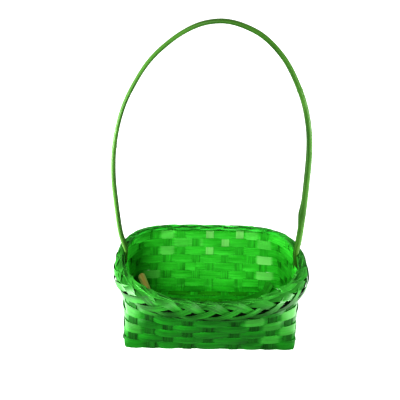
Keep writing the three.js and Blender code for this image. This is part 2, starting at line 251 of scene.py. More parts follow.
def wall_ends(turn):
    """The foot and the top of the wall, at a number of posts round from the first one."""
    turn %= post_count
    i = int(turn)
    neighbours = zip(post_indices[i], post_indices[i + 1])
    foot, top = (before + (after - before) * (turn - i) for before, after in neighbours)
    low = outline_at(base_outline, foot)
    high = outline_at(rim_outline, top)
    low.z = floor_level
    high.z = rim_top(high.x) - wall_inset
    return low, high


def wall_frame(turn, height):
    """A place on the middle of the wall, with the ways along it and out of it."""
    low, high = wall_ends(turn)
    before, after = wall_ends(turn - wall_nearby), wall_ends(turn + wall_nearby)
    along = after[0].lerp(after[1], height) - before[0].lerp(before[1], height)
    along.normalize()
    return low.lerp(high, height), along, along.cross(high - low).normalized()


def bow(distance, reach):
    """1 at the middle of a crossing, and 0 from its reach outwards."""
    return 0.5 + 0.5 * math.cos(math.pi * min(abs(distance) / reach, 1))


def lay_strips(name, runs, paints, thickness, camber=strip_camber, lanes=4, edge=strip_edge):
    """Strips laid through runs of stations, each a place, ways across and out, a width, and its
    share of tint and painted light and shade there. Paints go in pairs, outer side and inner side, one
    pair to a run."""
    mesh = bmesh.new()
    grain = mesh.loops.layers.uv.new("grain")
    tint_and_painted_light = mesh.verts.layers.float.new("tint_and_painted_light")
    pairs = len(paints) // 2
    for run, stations in enumerate(runs):
        steps = len(stations) - 1
        walked = [0.0]
        for before, after in zip(stations, stations[1:]):
            walked.append(walked[-1] + (after[0] - before[0]).length)
        start = random.uniform(0, grain_lengths)
        verts = bmesh.ops.create_grid(mesh, x_segments=steps, y_segments=lanes, size=0.5)["verts"]
        for face in {face for vert in verts for face in vert.link_faces}:
            face.material_index = 2 * min(run, pairs - 1)
            for loop in face.loops:
                i = round((loop.vert.co.x + 0.5) * steps)
                loop[grain].uv = (start + walked[i], loop.vert.co.y * stations[i][3])
        for vert in verts:
            place, across, out, width, *tint_and_light = stations[round((vert.co.x + 0.5) * steps)]
            side = vert.co.y
            vert.co = place + across * (side * width) + out * (camber * (1 - 4 * side * side))
            vert[tint_and_painted_light] = tint_and_light[0] if tint_and_light else 0
    bmesh.ops.remove_doubles(mesh, verts=mesh.verts, dist=merge_distance)
    first, second = runs[0][0], runs[0][1]
    if (second[0] - first[0]).cross(first[1]).dot(first[2]) < 0:
        bmesh.ops.reverse_faces(mesh, faces=mesh.faces)
    made = bpy.data.meshes.new(name)
    mesh.to_mesh(made)
    mesh.free()
    made.shade_smooth()
    strip = bpy.data.objects.new(name, made)
    bpy.context.scene.collection.objects.link(strip)
    shell = strip.modifiers.new("thickness", "SOLIDIFY")
    shell.thickness = thickness
    shell.offset = 0
    shell.material_offset = 1
    for paint in paints:
        made.materials.append(paint)
    round_edge = strip.modifiers.new("worn_edges", "BEVEL")
    round_edge.width = edge
    round_edge.segments = 2
    round_edge.limit_method = "ANGLE"
    round_edge.harden_normals = True
    return strip


def dyed_bamboo(name, dark, light, roughness=0.5, gloss=0.25, tint_and_light_colour=None):
    """Split bamboo with its fibres along the strip, dyed unevenly between two greens. Where the
    strip's tint value is above 0, it goes over to a second colour, which some pieces use for
    paler patches and others for painted highlights and painted shade."""
    material = bpy.data.materials.new(name)
    material.use_nodes = True
    tree = material.node_tree
    shader = tree.nodes["Principled BSDF"]
    shader.inputs["Specular IOR Level"].default_value = gloss
    grain = tree.nodes.new("ShaderNodeUVMap")
    grain.uv_map = "grain"

    def stretched_noise(along, across, detail):
        mapping = tree.nodes.new("ShaderNodeMapping")
        mapping.inputs["Scale"].default_value = (along, across, 1)
        pattern = tree.nodes.new("ShaderNodeTexNoise")
        pattern.inputs["Scale"].default_value = 1
        pattern.inputs["Detail"].default_value = detail
        tree.links.new(grain.outputs["UV"], mapping.inputs["Vector"])
        tree.links.new(mapping.outputs["Vector"], pattern.inputs["Vector"])
        return pattern.outputs["Fac"]

    fibres = stretched_noise(along=28, across=850, detail=4)
    blotches = stretched_noise(along=24, across=90, detail=2)
    fibre_share = 0.55
    blend = tree.nodes.new("ShaderNodeMix")
    blend.inputs["Factor"].default_value = fibre_share
    tree.links.new(blotches, blend.inputs["A"])
    tree.links.new(fibres, blend.inputs["B"])
    tones = tree.nodes.new("ShaderNodeValToRGB")
    tones.color_ramp.elements[0].position = 0.37
    tones.color_ramp.elements[0].color = (*dark, 1)
    tones.color_ramp.elements[1].position = 0.63
    tones.color_ramp.elements[1].color = (*light, 1)
    tree.links.new(blend.outputs["Result"], tones.inputs["Fac"])
    tree.links.new(tones.outputs["Color"], shader.inputs["Base Color"])
    if tint_and_light_colour:
        tint_and_light = tree.nodes.new("ShaderNodeAttribute")
        tint_and_light.attribute_name = "tint_and_painted_light"
        tint_and_painted_light = tree.nodes.new("ShaderNodeMix")
        tint_and_painted_light.data_type = "RGBA"
        tint_and_painted_light.inputs[7].default_value = (*tint_and_light_colour, 1)
        tree.links.new(tint_and_light.outputs["Fac"], tint_and_painted_light.inputs["Factor"])
        tree.links.new(tones.outputs["Color"], tint_and_painted_light.inputs[6])
        tree.links.new(tint_and_painted_light.outputs[2], shader.inputs["Base Color"])
    sheen = tree.nodes.new("ShaderNodeMapRange")
    sheen.inputs["To Min"].default_value = roughness - 0.1
    sheen.inputs["To Max"].default_value = roughness + 0.12
    tree.links.new(fibres, sheen.inputs["Value"])
    tree.links.new(sheen.outputs["Result"], shader.inputs["Roughness"])
    ridges = tree.nodes.new("ShaderNodeBump")
    ridges.inputs["Strength"].default_value = 0.35
    ridges.inputs["Distance"].default_value = 0.12 * mm
    tree.links.new(fibres, ridges.inputs["Height"])
    tree.links.new(ridges.outputs["Normal"], shader.inputs["Normal"])
    return material


def row_height(turn, row):
    """The height of a row's middle, as a share of the wall."""
    low, high = wall_ends(turn)
    first = first_row_gap / (high - low).length
    return first + (1 - first) * (row + 0.5) / weaver_rows


def stake_offset(post, height):
    """How far a stake sways out or in where the weavers pass inside or outside it."""
    offset = 0.0
    for row in range(weaver_rows):
        side = 1 if (post + row) % 2 else -1
        offset += side * stake_sway * bow(height - row_height(post, row), 1 / weaver_rows)
    return offset


bend_reach = 3 * mm
# Paler squares on the inside of the stakes: which rows of which post.
pale_squares = {20: (6, 4), 19: (5,), 18: (6,)}
square_paleness = 0.46
pale_edge = (0.4, 0.6)
stake_top = 1.035
wall_steps = 44
bend_steps = 6


def smooth_share(value, low, high):
    """0 below the low value, 1 above the high one, and smoothly over between them."""
    share = min(max((value - low) / (high - low), 0), 1)
    return share * share * (3 - 2 * share)


def rising_stations(post, width, inward, floor_across, side):
    """From the top of the wall down to where the strip lies flat, across its own width."""
    low, high = wall_ends(post)
    bend_share = bend_reach / (high - low).length
    stations = []
    for k in range(wall_steps + 1):
        height = stake_top + (bend_share - stake_top) * k / wall_steps
        place, along, out = wall_frame(post, height)
        proud = foot_bulge * bow(height, foot_bulge_rows / weaver_rows) if post % 2 else 0
        tint_and_light = 0.0
        for row in pale_squares.get(post, ()):
            rows_away = abs(height - row_height(post, row)) * weaver_rows
            tint_and_light = max(tint_and_light, 1 - smooth_share(rows_away, *pale_edge))
        middle = place + out * (stake_offset(post, height) + proud)
        stations.append((middle, along * side, out, width, square_paleness * tint_and_light))
    start, across, outward = stations[-1][:3]
    end = low + inward * bend_reach
    if post % 2:
        low = low + outward * foot_bulge - Vector((0, 0, foot_dip))
    for k in range(1, bend_steps + 1):
        share = k / bend_steps
        place = start.lerp(low, share).lerp(low.lerp(end, share), share)
        down = outward.lerp(Vector((0, 0, -1)), share).normalized()
        stations.append((place, across.lerp(floor_across, share).normalized(), down, width))
    return stations


def floor_sway(y, stake):
    """How far a crosswise stake sways up or down where the lengthwise strips pass."""
    first = riser_y(0) - floor_pitch
    lanes = 2 * len(side_rim_shares)
    level = 0.0
    for lane in range(lanes):
        side = 1 if (lane + stake) % 2 else -1
        level += side * stake_sway * bow(y - first - lane * floor_pitch, floor_pitch)
    return level


floor_steps = 60
last_back_post = 24
# The outer side is painted darker and the inner side lighter: partly the bamboo's skin and pith, partly
# painted shade outside and painted light inside.
stake_skin_and_shade = dyed_bamboo(
    "stake_skin_and_shade", (0.001, 0.022, 0.001), (0.008, 0.09, 0.007), roughness=0.6, gloss=0.12
)
stake_pith_and_light = dyed_bamboo(
    "stake_pith_and_light", (0.014, 0.22, 0.010), (0.045, 0.52, 0.034),
    roughness=0.6, gloss=0.2, tint_and_light_colour=(0.34, 0.74, 0.25),
)
stake_paints = [stake_skin_and_shade, stake_pith_and_light]
random.seed(11)
for i in range(len(front_base_shares)):
    front, back = i, last_back_post - i
    front_foot, back_foot = wall_ends(front)[0], wall_ends(back)[0]
    run = (back_foot - front_foot).normalized()
    across = Vector((run.y, -run.x, 0))
    down_front = rising_stations(front, stake_width, run, across, side=1)
    up_back = rising_stations(back, stake_width, -run, across, side=-1)
    under = []
    for k in range(1, floor_steps):
        place = front_foot.lerp(back_foot, k / floor_steps)
        level = floor_sway(place.y, i)
        under.append((place + Vector((0, 0, level)), across, Vector((0, 0, -1)), stake_width))
    stations = down_front + under + up_back[::-1]
    stake = lay_strips(f"stake_{i + 1}", [stations], stake_paints, strip_thickness)
    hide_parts(f"crosswise_stake_{i + 1}")
    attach(stake, "root")


# Lengthwise stakes: seven narrower strips along the floor, over and under the crosswise
# ones, that turn up at both ends and stand in the end walls.
weave_gap = 0.6 * mm
floor_weave_gap = 0.42 * mm
edge_spread = 7.2 * mm
floor_spread = 1.3 * mm
floor_step = 1.5 * mm
narrowing_power = 14
flat_start = 1.5 * bend_reach
last_riser = 6
first_right_post = 9
last_left_post = 31


def crossing_x(stake, y):
    """Where a crosswise stake passes a line along the floor."""
    front, back = wall_ends(stake)[0], wall_ends(last_back_post - stake)[0]
    return front.lerp(back, (y - front.y) / (back.y - front.y)).x


def eased(before, after, share):
    """Level with one value, then smoothly over to the next."""
    share = min(max(share, 0), 1)
    return before + (after - before) * (0.5 - 0.5 * math.cos(math.pi * share))


def floor_run(y, starts_over, left_x, right_x, extra, narrowing):
    """Stations along the floor, over and under the crosswise stakes in turn."""
    crossings = [crossing_x(stake, y) for stake in range(len(front_base_shares))]
    levels = []
    for stake in range(len(crossings)):
        over = (stake % 2 == 0) == starts_over
        levels.append(floor_weave_gap if over else -floor_weave_gap)
    half = stake_width / 2
    count = round((right_x - left_x) / floor_step)
    stations = []
    for k in range(count + 1):
        x = left_x + (right_x - left_x) * k / count
        level = levels[0]
        for i in range(len(crossings) - 1):
            start, end = crossings[i] + half, crossings[i + 1] - half
            if x > start:
                level = eased(levels[i], levels[i + 1], (x - start) / (end - start))
        spread = extra * (1 - narrowing * (abs(x) / right_x) ** narrowing_power)
        shift = math.copysign(max(spread - floor_spread, 0) / 2, y)
        place = Vector((x, y + shift, floor_level + level))
        stations.append((place, Vector((0, -1, 0)), Vector((0, 0, -1)), riser_width + spread))
    return stations


for i in range(len(side_rim_shares)):
    left, right = last_left_post - i, first_right_post + i
    left_foot, right_foot = wall_ends(left)[0], wall_ends(right)[0]
    across = Vector((0, -1, 0))
    down_left = rising_stations(left, riser_width, Vector((1, 0, 0)), across, side=1)
    up_right = rising_stations(right, riser_width, Vector((-1, 0, 0)), across, side=-1)
    left_x, right_x = left_foot.x + flat_start, right_foot.x - flat_start
    extra = edge_spread if i == last_riser else floor_spread
    under = floor_run(riser_y(i), False, left_x, right_x, extra, narrowing=1)
    stations = down_left + under + up_right[::-1]
    riser = lay_strips(f"riser_{i + 1}", [stations], stake_paints, strip_thickness)
    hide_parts(f"lengthwise_stake_{i + 1}")
    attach(riser, "root")


# Floor fillers: strips of the same split bamboo between the risers, woven like them and
# cut off at the floor's edge. The front one is wider and fills the floor up to the wall.
# The underside is painted darker and the top lighter: partly the bamboo's skin and pith, partly painted
# shade below and painted light above.
filler_skin_and_shade = dyed_bamboo(
    "filler_skin_and_shade", (0.007, 0.07, 0.004), (0.02, 0.16, 0.010), roughness=0.6, gloss=0.15
)
filler_pith_and_light = dyed_bamboo(
    "filler_pith_and_light", (0.013, 0.18, 0.006), (0.045, 0.36, 0.018), roughness=0.6, gloss=0.15
)
filler_paints = [filler_skin_and_shade, filler_pith_and_light]
filler_reach = 0.5 * mm
corner_reach = 3 * mm
filler_spread = 1.8 * mm
for i in range(len(side_rim_shares)):
    y = riser_y(i) - floor_pitch
    filler_half = base_half[0] - (corner_reach if i == 0 else filler_reach)
    extra = edge_spread if i == 0 else filler_spread
    run = floor_run(y, True, -filler_half, filler_half, extra, narrowing=0)
    filler = lay_strips(f"filler_{i + 1}", [run], filler_paints, strip_thickness)
    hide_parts(f"floor_filler_{i + 1}")
    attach(filler, "root")


# Weavers: seven wider strips that go round the four walls, outside one stake and inside
# the next. Each is one length, and its two ends lap over each other behind the stakes.
weaver_overlap = 1.1 * mm
weaver_lean = 0.4 * mm
end_lean = 2.4
lean_drift = 0.02
weaver_wobble = 0.3 * mm
weaver_camber = 0.35 * mm
end_packing = 1.5
foot_drop = 1.2 * mm
drop_facing = (-0.7, 0)
drop_depth = (-0.9 * mm, -0.3 * mm)
leg_cover = 3 * mm
cover_depth = (2 * mm, 6 * mm)
float_rise = 0.4 * mm
float_flat = 0.2
# The weavers pass inside the handle's legs, so the handle's own sizes stand here.
leg_posts = (12, 28)
leg_end_share = 0.425
handle_width = 9 * mm
handle_tip_width = 6.6 * mm
leg_thickness = 5 * mm
crown_thickness = 4 * mm
tip_thickness = 1.5 * mm
handle_height = 370 * mm
handle_shoulder = 130 * mm
handle_taper_end = handle_shoulder - 20 * mm
handle_lean = 1.8 * mm
leg_gap = 0.8 * mm
leg_clearance = 0.3 * mm
wave_steps = 14
lap_posts = 2.4
lap_rise = 0.75 * mm
lap_lift = (-0.6, 0.2)
lap_starts = (18, 27, 21, 10, 24, 29, 14)
# Paler places on the weavers, by row and the post where each crosses, and how pale: partly
# painted highlights, the glints on bulging floats such as those at the left-front corner,
# and partly paler patches of the strips' own colour.
pale_and_highlight_spots = {
    (6, 17): 0.2, (5, 16): 0.25, (3, 16): 0.75, (1, 16): 0.5, (6, 23): 0.28, (4, 23): 0.35,
    (1, 24): 0.35, (5, 22): 0.15, (5, 21): 0.15, (4, 6): 0.2, (4, 8): 0.3, (2, 8): 0.2, (3, 7): 0.12,
    (1, 7): 0.15, (4, 0): 0.12, (2, 0): 0.15, (5, 1): 0.1,
}


def handle_section(z):
    """How wide and how thick the handle's slat is at a height."""
    tip = leg_end_share * (rim_height + rim_rise - wall_inset)
    taper = smooth_share(z, tip, handle_taper_end)
    crown = smooth_share(z, handle_shoulder, handle_height)
    width = handle_tip_width + (handle_width - handle_tip_width) * taper
    thickness = tip_thickness + (leg_thickness - tip_thickness) * taper
    return width, thickness + (crown_thickness - leg_thickness) * crown


def leg_inset(turn, height):
    """How far the middle of the handle's leg lies inside the middle of the wall."""
    low, high = wall_ends(turn)
    thickness = handle_section(low.lerp(high, height).z)[1]
    return leg_gap + thickness / 2 + handle_lean * height**4


def crossing_level(post, row):
    """How far out a weaver lies where it crosses a stake, and half the width it crosses."""
    half = (riser_width if post_pairs[post][0] else stake_width) * float_flat
    rise = float_rise * (1 - post_pairs[post][0])
    if (post + row) % 2 == 0:
        return weave_gap + rise, half
    height = row_height(post, row) + 0.5 / weaver_rows
    if post in leg_posts and row_height(post, row) > leg_end_share:
        low, high = wall_ends(post)
        thickness = handle_section(low.lerp(high, height).z)[1]
        behind_leg = leg_inset(post, height) + thickness / 2 + strip_thickness / 2 + leg_clearance
        return -behind_leg, handle_width / 2
    return -weave_gap - rise / 2, half


def weaver_place(turn, row):
    """A weaver's station: its place, the ways up and out, its width, and its share of paler tint and
    painted highlight.
    """
    post = int(turn) % post_count
    after = (post + 1) % post_count
    height = row_height(turn, row)
    here, there = wall_frame(post, height)[0], wall_frame(after, height)[0]
    pitch = (there - here).length
    gone = (turn - math.floor(turn)) * pitch
    (level, half), (next_level, next_half) = crossing_level(post, row), crossing_level(after, row)
    offset = eased(level, next_level, (gone - half) / (pitch - half - next_half))
    low, high = wall_ends(turn)
    place, along, out = wall_frame(turn, height)
    up = (high - low).normalized()
    packing = 1 + end_packing * out.x**2
    width = ((high - low).length - first_row_gap) / weaver_rows + weaver_overlap * packing
    if row == 0:
        dropped = foot_drop * smooth_share(out.y, *drop_facing) * smooth_share(offset, *drop_depth)
        width += dropped
        place = place - up * (dropped / 2)
    raised = leg_cover * smooth_share(-offset, *cover_depth)
    width += raised
    place = place + up * (raised / 2)
    wobble = noise.noise(Vector((turn * 0.9, row * 7.3, 0))) * weaver_wobble
    lean = noise.noise(Vector((turn * 0.7, row * 5.1, 9))) * lean_drift
    lean -= 2 * weaver_lean * (1 - end_lean * out.x**2) / width
    tint_and_light = max(
        pale_and_highlight_spots.get((row, post), 0) * (1 - smooth_share(turn - math.floor(turn), *pale_edge)),
        pale_and_highlight_spots.get((row, after), 0) * (1 - smooth_share(math.ceil(turn) - turn, *pale_edge)),
    )
    return place + out * offset + up * wobble, (up + out * lean).normalized(), out, width, tint_and_light


# The outer side is painted darker and the inner side lighter: partly the bamboo's skin and pith, partly
# painted shade outside and painted light inside. The pale colours are paler patches and painted
# highlights.
weaver_skin_and_shade = dyed_bamboo(
    "weaver_skin_and_shade", (0.001, 0.05, 0.001), (0.006, 0.14, 0.005),
    roughness=0.36, gloss=0.33, tint_and_light_colour=(0.12, 0.44, 0.09),
)
weaver_pith_and_light = dyed_bamboo(
    "weaver_pith_and_light", (0.020, 0.34, 0.014), (0.065, 0.60, 0.050),
    roughness=0.5, gloss=0.3, tint_and_light_colour=(0.27, 0.72, 0.21),
)
weaver_paints = [weaver_skin_and_shade, weaver_pith_and_light]
for row in range(weaver_rows):
    start = lap_starts[row]
    end = start + post_count
    count = round((post_count + lap_posts) * wave_steps)
    stations = []
    for k in range(count + 1):
        turn = start + (post_count + lap_posts) * k / count
        place, up, out, width, tint_and_light = weaver_place(turn, row)
        lapped = smooth_share(turn, end + lap_lift[0], end + lap_lift[1])
        stations.append((place + out * (lap_rise * lapped), up, out, width, tint_and_light))
    weaver_name = f"round_weaver_{row + 1}"
    weaver = lay_strips(weaver_name, [stations], weaver_paints, strip_thickness, weaver_camber, lanes=6)
    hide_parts(f"weaver_{row + 1}")
    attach(weaver, "root")


# Braided rim: five flat strips of thin dyed bamboo, plaited outside the top of the wall in
# a row of chevrons. Two more twine along the lip, and the bent-over stake ends that the
# braid is laid round are painted near black, a painted shade between the strips.
opening_half = (105 * mm, 78.9 * mm)
opening_roundness = 2.4
rim_foot = Vector((6.3 * mm, -18.5 * mm))
rim_shoulder = Vector((8.1 * mm, -2 * mm))
rim_lip_in = 0.6 * mm
rim_lip_down = 0.9 * mm
lip_inside = Vector((1.8 * mm, -8.2 * mm))
lip_turn = ((0.08, -0.9 * mm), (0.5, -0.8 * mm), (1, 0))
strand_count = 5
strand_waves = 5
strand_steps = 96
ribbon_width = 6.8 * mm
ribbon_spread = 2.3 * mm
ribbon_tuck = 1.5 * mm
ribbon_swell = 1.5 * mm
fuller_left = 0.2
ribbon_tilt = 0.3 * mm
climb_drift = 0.5 * mm
width_drift = 0.16
depth_drift = 0.3 * mm
drift_pace = 9
strand_thickness = 0.5 * mm
strand_camber = 0.16 * mm
strand_edge = 0.12 * mm
strand_depth = 1.0 * mm
spine_climb = 10.5 * mm
upper_reach = 9 * mm
upper_fullness = 1.4
lower_reach = 8 * mm
lower_fullness = 0.25
tucked_edge = (0.3, 1.2)
low_edge = (0.2, 0.9)
low_shade = 0.5
edging_climb = 23.6 * mm
edging_width = 7.6 * mm
edging_swing = 1.8 * mm
edging_depth = 0.9 * mm
edging_twine = 0.4 * mm
edging_drift = 0.6 * mm
edging_waves = 10
leaf_highlight = 0.28
leaf_lag = 0.8
front_highlight = 0.05
core_depth = 1.5 * mm
core_pitch = 5.7 * mm
core_start = 0.4
core_width = 8.4 * mm
profile_points = 24
back_lift = 1.6 * mm
back_edge = (0.2, 0.95)


def rim_profiles():
    """For each point round the rim: the point, its way out and the braid's line across it."""
    profiles = []
    for i in range(outline_points):
        point = rim_outline[i]
        heading = outline_at(rim_outline, i + 1) - outline_at(rim_outline, i - 1)
        out = Vector((heading.y, -heading.x, 0)).normalized()
        edge = (outline_facing(*opening_half, opening_roundness, out.x, out.y) - point).dot(out)
        lip = Vector((edge + rim_lip_in, -rim_lip_down))
        line = []
        for k in range(profile_points + 1):
            share = k / profile_points
            line.append(rim_foot.lerp(rim_shoulder, share).lerp(rim_shoulder.lerp(lip, share), share))
        for share, hollow in lip_turn:
            line.append(lip + lip_inside * share + Vector((hollow, 0)))
        profiles.append((point, out, line))
    return profiles


profiles = rim_profiles()
rim_length = sum((rim_outline[i] - rim_outline[i - 1]).length for i in range(outline_points))


def on_rim(distance, climb, depth):
    """A place on the rim: its distance round it, up the profile from its foot, and out of it."""
    index = distance / rim_length * outline_points
    point, out, line = profiles[int(index) % outline_points]
    point = outline_at(rim_outline, index)
    gone, i = 0.0, 0
    while i < len(line) - 2 and gone + (line[i + 1] - line[i]).length < climb:
        gone += (line[i + 1] - line[i]).length
        i += 1
    step = line[i + 1] - line[i]
    across = line[i] + step * ((climb - gone) / step.length)
    normal = Vector((step.y, -step.x)).normalized()
    across += normal * depth
    lift = back_lift * smooth_share(point.y / rim_half[1], *back_edge)
    return point + out * across.x + Vector((0, 0, rim_top(point.x) + across.y + lift))


def unevenness(share, seed):
    """Smooth random values round the rim that meet where it closes."""
    turn = math.tau * share
    return noise.noise(Vector((drift_pace * math.cos(turn), drift_pace * math.sin(turn), seed)))


def plaited_line(strand):
    """Distance, climb, depth, width and painted shade of a ribbon that swings from lip to foot."""
    count = strand_waves * strand_steps
    line = []
    for k in range(count + 1):
        phase = math.tau * (k / strand_steps + strand / strand_count)
        swing = math.cos(phase)
        if swing > 0:
            climb = spine_climb + upper_reach * (1 - (1 - swing) ** upper_fullness)
        else:
            climb = spine_climb + lower_reach * swing * (1 + lower_fullness + lower_fullness * swing)
        sway = math.sin(2 * phase)
        depth = strand_depth * sway * (1.5 - 0.5 * sway * sway) * (0.8 - 0.2 * swing)
        on_top = phase - math.pi / 4
        width = ribbon_width + ribbon_spread * math.cos(on_top) - ribbon_tuck * math.sin(on_top)
        width += ribbon_swell * math.cos(2 * on_top)
        climb += climb_drift * unevenness(k / count, 5.3 * strand)
        place = outline_at(rim_outline, outline_points * k / count)
        fullness = fuller_left * smooth_share(-place.x / rim_half[0], -0.1, 0.6)
        width *= 1 + fullness + width_drift * unevenness(k / count, 5.3 * strand + 40)
        depth += depth_drift * unevenness(k / count, 5.3 * strand + 80)
        # Painted shade: darker where the ribbon tucks under the others, and partly on its lower arms.
        tucked = smooth_share(-sway * (1 - swing), *tucked_edge)
        shade = max(tucked, low_shade * smooth_share(-swing, *low_edge))
        line.append((rim_length * k / count, climb, depth, width, shade))
    return line


def edging_line(strand):
    """One of two ribbons that twine along the lip, where the strands turn over it, with the share of its
    painted highlight.
    """
    count = 2 * strand_waves * strand_steps
    line = []
    for k in range(count + 1):
        phase = math.tau * edging_waves * k / count + math.pi * strand
        climb = edging_climb + edging_swing * math.cos(phase)
        climb += edging_drift * unevenness(k / count, 3 * strand + 60)
        depth = edging_depth + edging_twine * math.sin(phase)
        place = outline_at(rim_outline, outline_points * k / count)
        # Painted highlight: lighter on each turn over the back of the lip, and a little all along the
        # front.
        highlight = leaf_highlight + leaf_highlight * math.sin(phase + leaf_lag)
        highlight *= smooth_share(place.y / rim_half[1], 0.2, 0.7)
        highlight += front_highlight * smooth_share(-place.y / rim_half[1], 0.4, 0.8)
        line.append((rim_length * k / count, climb, depth, edging_width, highlight))
    return line


def core_line(strand):
    """A bent-over stake end inside the braid, along the rim."""
    count = strand_waves * strand_steps
    climb = (strand + core_start) * core_pitch
    return [(rim_length * k / count, climb, -core_depth, core_width) for k in range(count + 1)]


def rim_stations(line):
    """Stations for a closed ribbon on the rim."""
    count = len(line) - 1
    stations = []
    for k, (distance, climb, depth, width, *shade) in enumerate(line):
        before, after = line[(k - 1) % count], line[(k + 1) % count]
        run = Vector((2 * rim_length / count, after[1] - before[1])).normalized()
        across = Vector((-run.y, run.x)) * (width / 2)
        low = on_rim(distance - across.x, climb - across.y, depth - ribbon_tilt)
        high = on_rim(distance + across.x, climb + across.y, depth + ribbon_tilt)
        way = (high - low).normalized()
        stations.append([(low + high) / 2, way, Vector(), (high - low).length, *shade])
    for k in range(count + 1):
        heading = stations[(k + 1) % count][0] - stations[(k - 1) % count][0]
        stations[k][2] = heading.cross(stations[k][1]).normalized()
    return stations


# The plaited strips go over to near black where they tuck under one another and, less, on
# their lower arms: a painted shade. The twined ones go over to a light green on each turn
# over the back of the lip and a little along the front: a painted highlight.
rim_green = dyed_bamboo(
    "rim_green", (0.004, 0.06, 0.003), (0.022, 0.19, 0.016),
    roughness=0.48, gloss=0.25, tint_and_light_colour=(0.001, 0.01, 0.001),
)
edging_green = dyed_bamboo(
    "edging_green", (0.012, 0.12, 0.009), (0.05, 0.30, 0.038),
    roughness=0.46, gloss=0.3, tint_and_light_colour=(0.04, 0.62, 0.05),
)
# Painted near black: a painted shade in the slots between the plaited strips.
core_painted_shade = dyed_bamboo(
    "core_painted_shade", (0.001, 0.006, 0.001), (0.004, 0.02, 0.003), roughness=0.7, gloss=0.1
)
rim_paints = [rim_green, rim_green, core_painted_shade, core_painted_shade, edging_green, edging_green]
for strand in range(strand_count):
    ribbons = [rim_stations(plaited_line(strand)), rim_stations(core_line(strand))]
    if strand < 2:
        ribbons.append(rim_stations(edging_line(strand)))
    braid_name = f"braid_strand_{strand + 1}"
    braid = lay_strips(
        braid_name, ribbons, rim_paints, strand_thickness, strand_camber, lanes=6, edge=strand_edge
    )
    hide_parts(f"rim_strand_{strand + 1}")
    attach(braid, "root")


# Handle: one bent slat, flat inside the hoop and rounded outside. Its thin ends run down
# inside the end walls, where the weavers hold them.
handle_bow = 2.4 * mm
leg_point_shares = (leg_end_share, 0.6, 0.8, 0.95)
hoop_shares = [
    (-0.927, 0.002), (-0.953, 0.044), (-0.979, 0.093), (-1.007, 0.226), (-1.022, 0.368),
    (-0.996, 0.504), (-0.924, 0.631), (-0.82, 0.732), (-0.637, 0.85), (-0.409, 0.936), (-0.2, 0.984),
    (0.005, 1), (0.2, 0.986), (0.404, 0.945), (0.609, 0.862), (0.773, 0.748), (0.867, 0.648),
    (0.928, 0.521), (0.947, 0.351), (0.949, 0.171), (0.942, 0.067), (0.928, 0.002),
]
ring_points = 20
hoop_step = 2.5 * mm
hoop_girth = 2.6
right_leg_fuller = 0.35
right_leg_reach = (-30 * mm, 95 * mm)
round_share = 0.62
round_power = 0.7
flat_share = 0.38
flat_power = 0.25
side_power = 0.8
hoop_seat = 0.12
lit_side_edge = (-0.4, 0.8)
knot_shade = 0.6
slat_roughness = 0.12 * mm
seam_distance = 0.001 * mm
node_heights = {1: (152 * mm, 301 * mm), -1: (232 * mm,)}
node_reach = 2.2 * mm
node_width = 0.5 * mm
node_swell = 0.7 * mm
knot_height = 150 * mm
knot_reach = 20 * mm
knot_swell = 1.6 * mm


def curve_through(points, step):
    """Evenly spaced places along a smooth curve through the points."""
    curve = []
    for i in range(len(points) - 1):
        a, b = points[max(i - 1, 0)], points[i]
        c, d = points[i + 1], points[min(i + 2, len(points) - 1)]
        span = (c - b).length
        before, after = max((b - a).length, 1e-6), max((d - c).length, 1e-6)
        leaving = (c - a) * (span / (span + before)) if a is not b else c - b
        arriving = (d - b) * (span / (span + after)) if d is not c else c - b
        count = max(round(span / step), 1)
        for k in range(count):
            t = k / count
            weights = (2 * t**3 - 3 * t**2 + 1, t**3 - 2 * t**2 + t, 3 * t**2 - 2 * t**3, t**3 - t**2)
            curve.append(b * weights[0] + leaving * weights[1] + c * weights[2] + arriving * weights[3])
    curve.append(points[-1])
    return curve


def leg_points(post):
    """The middle of the handle's leg inside the wall, from its tip upwards."""
    points = []
    for share in leg_point_shares:
        place, along, out = wall_frame(post, share)
        place -= out * leg_inset(post, share)
        place.y = wall_ends(post)[0].y
        points.append(place)
    return points


hoop_foot = rim_height + rim_rise
hoop_y = wall_ends(leg_posts[0])[0].y
hoop_points = leg_points(leg_posts[1])
for reach_share, rise_share in hoop_shares:
    x = reach_share * (rim_half[0] + handle_bow)
    z = hoop_foot + rise_share * (handle_height - hoop_foot)
    hoop_points.append(Vector((x, hoop_y, z)))
hoop_points += leg_points(leg_posts[0])[::-1]
hoop_line = curve_through(hoop_points, hoop_step)

